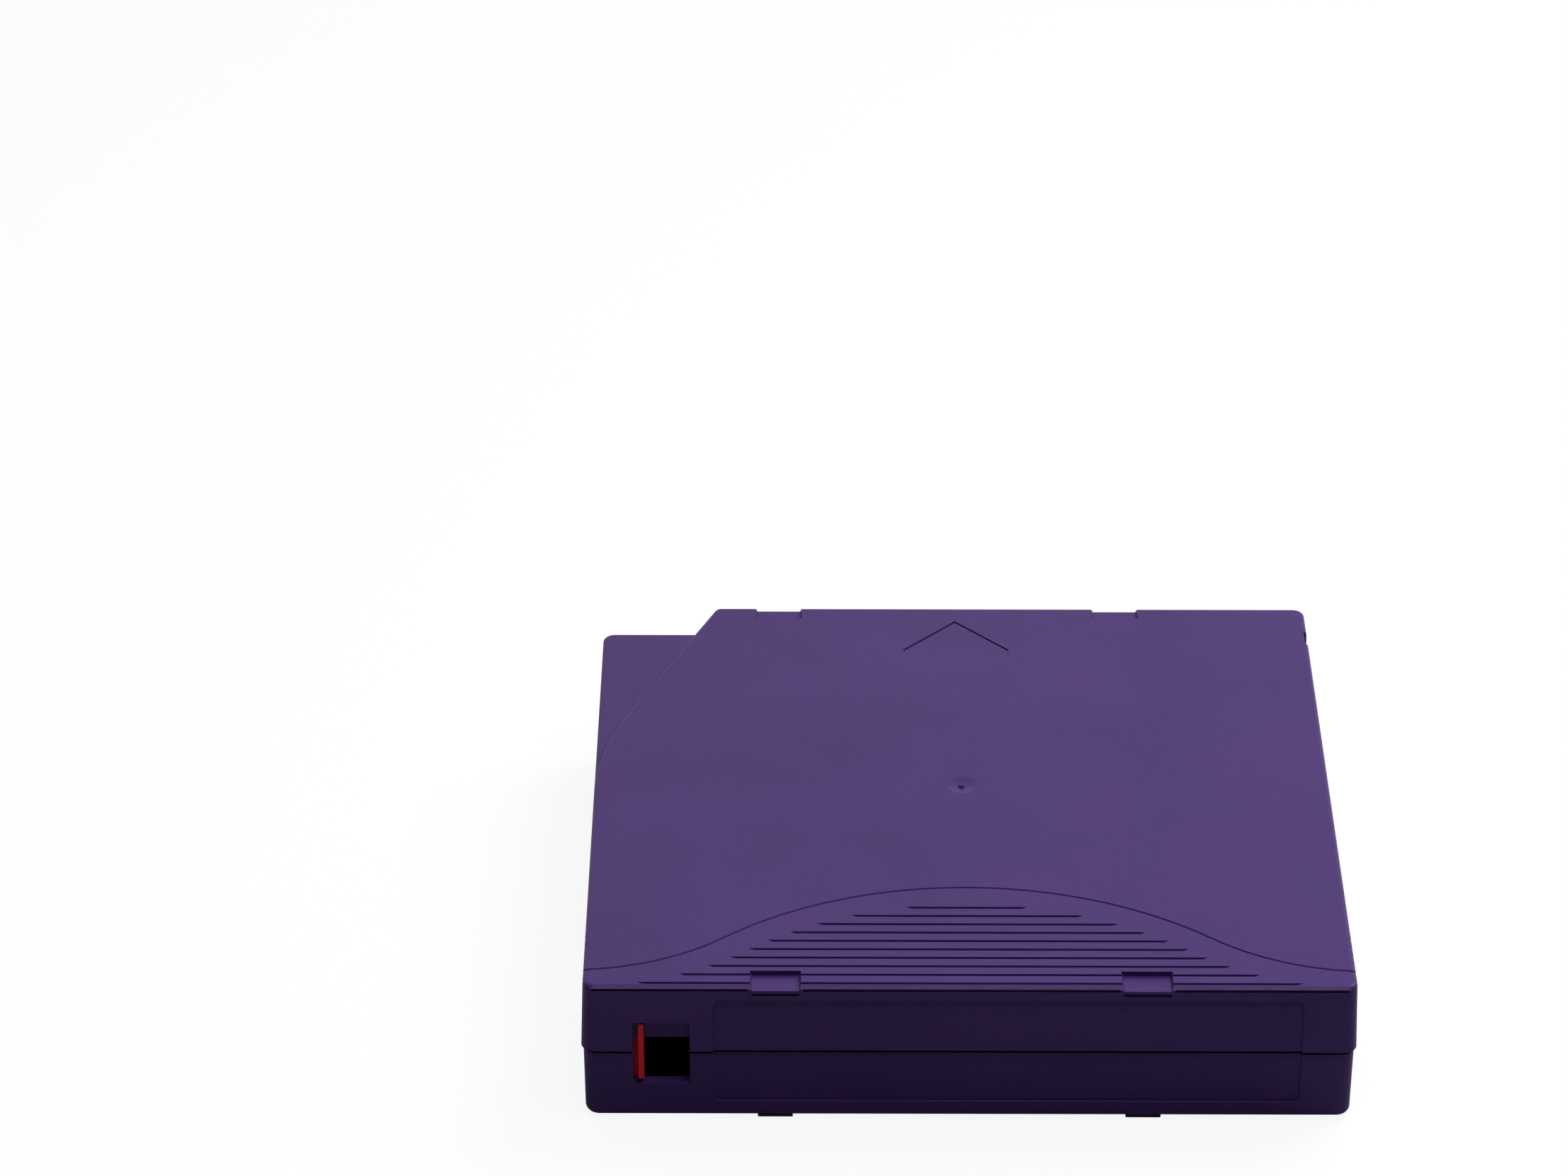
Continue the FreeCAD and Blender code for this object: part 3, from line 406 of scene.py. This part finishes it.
def board_mask(name, tint):
    """Solder mask over a woven glass laminate."""
    finish = Finish(name)
    weave = finish.node("ShaderNodeTexWave", {"wave_type": "BANDS", "bands_direction": "X"},
                        {"Vector": finish.spot, "Scale": 1.0 / GLASS_WEAVE, "Distortion": 1.0},
                        "Fac")
    tone = finish.blend(0.3 * weave, tint, shade(tint, 1.8))
    rough = 0.25 + 0.1 * finish.noise(MASK_SPOT)
    return finish.surface(Base_Color=tone, Roughness=rough, IOR=PLASTIC_IOR, Coat_Weight=0.4,
                          Normal=finish.bump(weave, GLASS_WEAVE_DEPTH))


def shade_smooth(piece):
    for polygon in piece.data.polygons:
        polygon.use_smooth = True


def dress_node(name, material):
    """Gives a CAD node its finish and joins its loose triangles so that it shades smoothly."""
    piece = frame["nodes"][name]
    piece.data.materials.clear()
    piece.data.materials.append(material)
    shade_smooth(piece)
    weld = piece.modifiers.new("join_triangles", "WELD")
    weld.merge_threshold = WELD_REACH
    split = piece.modifiers.new("keep_edges", "EDGE_SPLIT")
    split.split_angle = SHARP_CORNER
    even = piece.modifiers.new("even_faces", "WEIGHTED_NORMAL")
    even.keep_sharp = True
    even.weight = 100


def mesh_of(bm, name, material):
    """Makes a mesh of one material from a bmesh, and frees the bmesh."""
    mesh = bpy.data.meshes.new(name)
    bm.to_mesh(mesh)
    bm.free()
    mesh.materials.append(material)
    return mesh


def add_object(name, data):
    """Makes an object and puts it in the scene."""
    made = bpy.data.objects.new(name, data)
    bpy.context.scene.collection.objects.link(made)
    return made


def piece_from(bm, name, body, slot, material, *nodes):
    """Makes a piece from a bmesh, puts it on its body and lets it stand for CAD nodes."""
    piece = add_object(name, mesh_of(bm, name, material))
    shade_smooth(piece)
    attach(piece, body)
    if nodes:
        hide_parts(*nodes)
    return piece


def coil(radius, wire, turns, rise, sides, steps):
    """Wire coil about +Z with closed ends, from z = 0 up to rise + wire, made by one sweep."""
    bm = bmesh.new()
    section = bmesh.ops.create_circle(bm, segments=sides, radius=wire / 2, cap_ends=False)["verts"]
    bmesh.ops.transform(bm, matrix=Matrix.Rotation(math.radians(90.0), 4, "X"), verts=section)
    bmesh.ops.translate(bm, vec=(radius, 0.0, wire / 2), verts=section)
    start_edges = bm.edges[:]
    all_steps = turns * steps
    made = bmesh.ops.spin(bm, geom=start_edges, cent=(0, 0, 0), axis=(0, 0, 1),
                          dvec=(0, 0, rise / all_steps), angle=2 * math.pi * turns,
                          steps=all_steps, use_merge=False)
    end_edges = [part for part in made["geom_last"] if isinstance(part, bmesh.types.BMEdge)]
    for loop in (start_edges, end_edges):
        bmesh.ops.holes_fill(bm, edges=loop, sides=0)
    bmesh.ops.recalc_face_normals(bm, faces=bm.faces[:])
    return bm


def shorten(spring, joint, fixed, free):
    """Reads how far the joint travels and gives the spring its own mesh; the spring is not made to
    shorten.
    """
    travel = next(j["range_m"][1] for j in frame["joints"] if j["name"] == joint)
    reach = free - fixed
    1.0 - travel / reach.length
    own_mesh(spring)


def screw_axes():
    """Place in plan of each case screw. One stands in each quarter of the case."""
    quarters = {}
    for vertex in frame["nodes"]["shell_screws"].data.vertices:
        spot = vertex.co
        quarters.setdefault((spot.x > 0, spot.y > 0), []).append(spot)
    return [((min(spot.x for spot in spots) + max(spot.x for spot in spots)) / 2,
             (min(spot.y for spot in spots) + max(spot.y for spot in spots)) / 2)
            for spots in quarters.values()]


def settings():
    """Colours and sizes as they are set in the scene."""
    return bpy.context.scene.cartridge_colours, bpy.context.scene.cartridge_sizes


class CARTRIDGE_OT_shells(bpy.types.Operator):
    """Finish the two case mouldings"""

    bl_idname = "cartridge.shells"
    bl_label = "Case shells"

    def execute(self, context):
        colours, sizes = settings()
        purple = moulded_plastic("shell_plastic", colours.shell, colours.shell_shade, sizes,
                                 colours.shell_edge_highlight)
        for name in ("upper_shell", "lower_shell"):
            dress_node(name, purple)
        return {"FINISHED"}


class CARTRIDGE_OT_switch(bpy.types.Operator):
    """Finish the write protect slide"""

    bl_idname = "cartridge.switch"
    bl_label = "Write protect slide"

    def execute(self, context):
        colours, sizes = settings()
        red = moulded_plastic("switch_plastic", colours.switch, shade(colours.switch, 0.7), sizes)
        dress_node("write_protect_switch", red)
        return {"FINISHED"}


class CARTRIDGE_OT_door(bpy.types.Operator):
    """Finish the tape door and make its return spring"""

    bl_idname = "cartridge.door"
    bl_label = "Tape door"

    def execute(self, context):
        colours, sizes = settings()
        dark = moulded_plastic("door_plastic", colours.door, shade(colours.door, 0.8), sizes)
        dress_node("tape_door", dark)
        low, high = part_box("door_spring")
        middle = (low + high) / 2
        rear_end = Vector((middle.x, low.y, middle.z))
        front_end = Vector((middle.x, high.y, middle.z))
        wire = sizes.door_wire
        spring = coil((high.x - low.x - wire) / 2, wire, sizes.door_turns,
                      high.y - low.y - wire, sides=8, steps=20)
        bmesh.ops.transform(spring, verts=spring.verts[:],
                            matrix=Matrix.Rotation(math.radians(-90.0), 4, "X"))
        bmesh.ops.translate(spring, verts=spring.verts[:], vec=rear_end)
        steel = worked_metal("spring_wire", colours.steel, 0.25, (6.0, 1.0, 6.0))
        piece = piece_from(spring, "door_return_coil", "case", "spring_steel", steel, "door_spring")
        shorten(piece, "door_slide", rear_end, front_end)
        return {"FINISHED"}


class CARTRIDGE_OT_reel(bpy.types.Operator):
    """Finish the hub, flanges, drive plate and the wound tape"""

    bl_idname = "cartridge.reel"
    bl_label = "Reel"

    def execute(self, context):
        colours, sizes = settings()
        white = smooth_plastic("hub_plastic", colours.hub, sizes)
        for name in ("reel_hub", "upper_flange"):
            dress_node(name, white)
        dress_node("hub_drive_plate", worked_metal("plate_steel", colours.steel))
        dress_node("magnetic_tape", wound_tape("tape_edges", colours.tape))
        return {"FINISHED"}


class CARTRIDGE_OT_brake(bpy.types.Operator):
    """Finish the reel brake and release pad, and make the brake spring"""

    bl_idname = "cartridge.brake"
    bl_label = "Reel brake"

    def execute(self, context):
        colours, sizes = settings()
        dress_node("reel_brake", smooth_plastic("brake_plastic", colours.brake, sizes, 0.4))
        dress_node("release_pad", smooth_plastic("pad_plastic", colours.pad, sizes, 0.4))
        low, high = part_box("brake_spring")
        lower_end = Vector((0.0, 0.0, low.z))
        upper_end = Vector((0.0, 0.0, high.z))
        wire = sizes.brake_wire
        spring = coil((high.x - low.x - wire) / 2, wire, sizes.brake_turns,
                      high.z - low.z - wire, sides=12, steps=36)
        bmesh.ops.translate(spring, verts=spring.verts[:], vec=lower_end)
        steel = worked_metal("brake_spring_wire", colours.steel, 0.28, (1.0, 1.0, 8.0))
        piece = piece_from(spring, "brake_coil", "case", "spring_steel", steel, "brake_spring")
        shorten(piece, "brake_lift", upper_end, lower_end)
        return {"FINISHED"}


class CARTRIDGE_OT_leader(bpy.types.Operator):
    """Finish the leader pin with its clip and springs, and the free span of tape"""

    bl_idname = "cartridge.leader"
    bl_label = "Leader pin and tape end"

    def execute(self, context):
        colours, sizes = settings()
        dress_node("leader_pin", worked_metal("pin_steel", colours.steel, 0.2, (1.0, 1.0, 20.0)))
        dress_node("leader_pin_clip", smooth_plastic("clip_plastic", colours.clip, sizes))
        strip = worked_metal("strip_steel", colours.steel)
        for name in ("pin_spring_lower", "pin_spring_upper"):
            dress_node(name, strip)
        dress_node("tape_leader", wound_tape("tape_film", colours.tape))
        return {"FINISHED"}


class CARTRIDGE_OT_memory(bpy.types.Operator):
    """Finish the memory board, its aerial loop and its chip"""

    bl_idname = "cartridge.memory"
    bl_label = "Memory board"

    def execute(self, context):
        colours, sizes = settings()
        copper = worked_metal("aerial_copper", colours.copper, 0.35, (8.0, 1.0, 1.0))
        dress_node("memory_board", board_mask("board_mask", colours.board))
        dress_node("memory_coil", copper)
        dress_node("memory_chip", smooth_plastic("chip_plastic", colours.chip, sizes, 0.5))
        return {"FINISHED"}


class CARTRIDGE_OT_screws(bpy.types.Operator):
    """Finish the case screws and make their threads"""

    bl_idname = "cartridge.screws"
    bl_label = "Case screws"

    def execute(self, context):
        colours, sizes = settings()
        steel = worked_metal("screw_steel", colours.steel, 0.32)
        dress_node("shell_screws", steel)
        rise = sizes.thread_turns * sizes.thread_pitch
        shank = sizes.screw_shank / 2
        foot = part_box("shell_screws")[1].z - shank - rise - sizes.thread_section
        for number, (x, y) in enumerate(screw_axes(), 1):
            thread = coil(shank, sizes.thread_section, sizes.thread_turns, rise, sides=4, steps=24)
            bmesh.ops.translate(thread, verts=thread.verts[:], vec=(x, y, foot))
            piece_from(thread, f"screw_thread_{number}", "case", "screw_steel", steel)
        return {"FINISHED"}


class CARTRIDGE_OT_stage(bpy.types.Operator):
    """Make the floor, the light and the camera"""

    bl_idname = "cartridge.stage"
    bl_label = "Stage"

    def execute(self, context):
        stage = context.scene.cartridge_stage
        make_floor()
        make_world(stage.ambient)
        make_light("back_softbox", stage.key_place, stage.key_size, stage.key_power)
        make_light("top_strip", stage.strip_place, stage.strip_size, stage.strip_power)
        make_camera(stage)
        context.scene.view_settings.view_transform = "Standard"
        return {"FINISHED"}


def make_floor():
    """Large pale floor; to the eye it is all but white and keeps a faint shadow."""
    finish = Finish("floor_paper")
    eye = finish.rays("Camera", "Transmission")
    paper = finish.blend(eye, [FLOOR_REFLECTANCE] * 3, [FLOOR_REFLECTANCE_SEEN] * 3)
    glow = finish.blend(eye, [0.0] * 3, [FLOOR_GLOW_SEEN] * 3)
    material = finish.surface(Base_Color=paper, Roughness=0.9, Specular_IOR_Level=0.0,
                              Emission_Color=glow, Emission_Strength=1.0)
    bm = bmesh.new()
    bmesh.ops.create_grid(bm, x_segments=1, y_segments=1, size=FLOOR_REACH)
    floor = add_object("floor", mesh_of(bm, "floor", material))


def make_world(ambient):
    """White to the eye; as light it is a tent that is open on the camera's side."""
    world = Shading(bpy.data.worlds.new("studio"))
    way = world.node("ShaderNodeTexCoord", output="Generated")
    depth = world.node("ShaderNodeSeparateXYZ", None, {"Vector": way}, "Y")
    tent = world.node("ShaderNodeMapRange", {"interpolation_type": "SMOOTHSTEP"},
                      {"Value": depth, "From Min": 0.0, "From Max": TENT_EDGE, "To Max": ambient})
    light = world.node("ShaderNodeBackground", None, {"Strength": tent})
    white = world.node("ShaderNodeBackground", None, {"Color": (1.0, 1.0, 1.0, 1.0)})
    seen = world.rays("Camera", "Glossy", "Transmission")
    both = world.node("ShaderNodeMixShader", None, {"Fac": seen, 1: light, 2: white})
    output = world.tree.nodes.new("ShaderNodeOutputWorld")
    world.tree.links.new(both.socket, output.inputs["Surface"])
    bpy.context.scene.world = world.owner


def make_light(name, place, size, energy):
    """Soft rectangular lamp that looks at the middle of the object's foot."""
    low, high = cad_box
    target = Vector(((low[0] + high[0]) / 2, (low[1] + high[1]) / 2, 0.0))
    light = bpy.data.lights.new(name, "AREA")
    light.shape = "RECTANGLE"
    light.size, light.size_y = size
    light.energy = energy
    lamp = add_object(name, light)
    lamp.location = target + Vector(place)
    lamp.rotation_euler = (target - lamp.location).to_track_quat("-Z", "Y").to_euler()


def make_camera(stage):
    camera = add_object("camera", bpy.data.cameras.new("camera"))
    camera.data.lens = stage.lens
    camera.data.sensor_width = SENSOR_WIDTH
    camera.data.sensor_fit = "HORIZONTAL"
    camera.data.clip_start = CLIP_NEAR
    camera.data.clip_end = CLIP_FAR
    camera.location = stage.camera_place
    camera.rotation_euler = (math.pi / 2 - stage.camera_pitch, 0.0, -stage.camera_turn)
    bpy.context.scene.camera = camera


class CARTRIDGE_PT_panel(bpy.types.Panel):
    """Lists the steps that finish the cartridge"""

    bl_label = "Cartridge"
    bl_idname = "CARTRIDGE_PT_panel"
    bl_space_type = "VIEW_3D"
    bl_region_type = "UI"
    bl_category = "Cartridge"

    def draw(self, context):
        for step in STEPS:
            self.layout.operator(step.bl_idname)


STEPS = (
    CARTRIDGE_OT_shells,
    CARTRIDGE_OT_switch,
    CARTRIDGE_OT_door,
    CARTRIDGE_OT_reel,
    CARTRIDGE_OT_brake,
    CARTRIDGE_OT_leader,
    CARTRIDGE_OT_memory,
    CARTRIDGE_OT_screws,
    CARTRIDGE_OT_stage,
)
GROUPS = {
    "cartridge_colours": CartridgeColours,
    "cartridge_sizes": CartridgeSizes,
    "cartridge_stage": CartridgeStage,
}


def register():
    for name, group in GROUPS.items():
        bpy.utils.register_class(group)
        setattr(bpy.types.Scene, name, PointerProperty(type=group))
    for step in STEPS:
        bpy.utils.register_class(step)
    bpy.utils.register_class(CARTRIDGE_PT_panel)


def unregister():
    bpy.utils.unregister_class(CARTRIDGE_PT_panel)
    for step in reversed(STEPS):
        bpy.utils.unregister_class(step)
    for name, group in GROUPS.items():
        delattr(bpy.types.Scene, name)
        bpy.utils.unregister_class(group)


def main():
    register()
    for step in STEPS:
        family, action = step.bl_idname.split(".")
        getattr(getattr(bpy.ops, family), action)()


if __name__ == "__main__":
    main()
